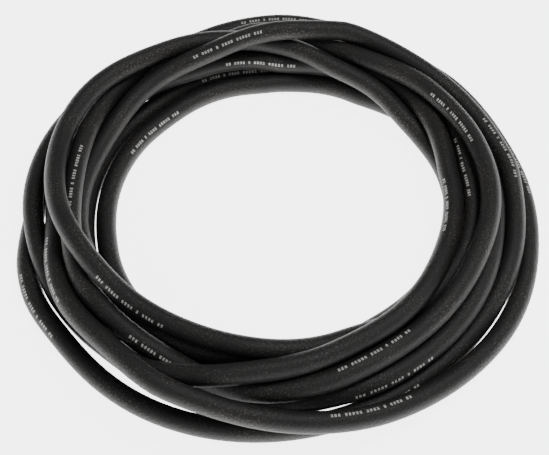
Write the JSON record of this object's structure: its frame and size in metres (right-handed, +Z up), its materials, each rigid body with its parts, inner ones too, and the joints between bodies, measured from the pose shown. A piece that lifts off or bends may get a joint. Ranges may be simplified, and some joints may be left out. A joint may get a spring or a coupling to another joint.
{
  "type": "fuel hose",
  "caption": "Coil of thick-walled round black rubber fuel hose, wound loosely by hand and lying flat with its bore open at both cut ends.",
  "frame": {"origin": "centre of the bounding box at the level floor that the coil lies on", "axes": "+Z up, along the coil's upright axis; -Y towards the viewer of the picture; +X to the viewer's right"},
  "size_m": [0.3795, 0.3831, 0.0603],
  "materials": {
    "rubber": "matte charcoal rubber cover with a fine cloth-wrap texture"
  },
  "bodies": {
    "root": {"hose": "rubber"}
  },
  "joints": []
}
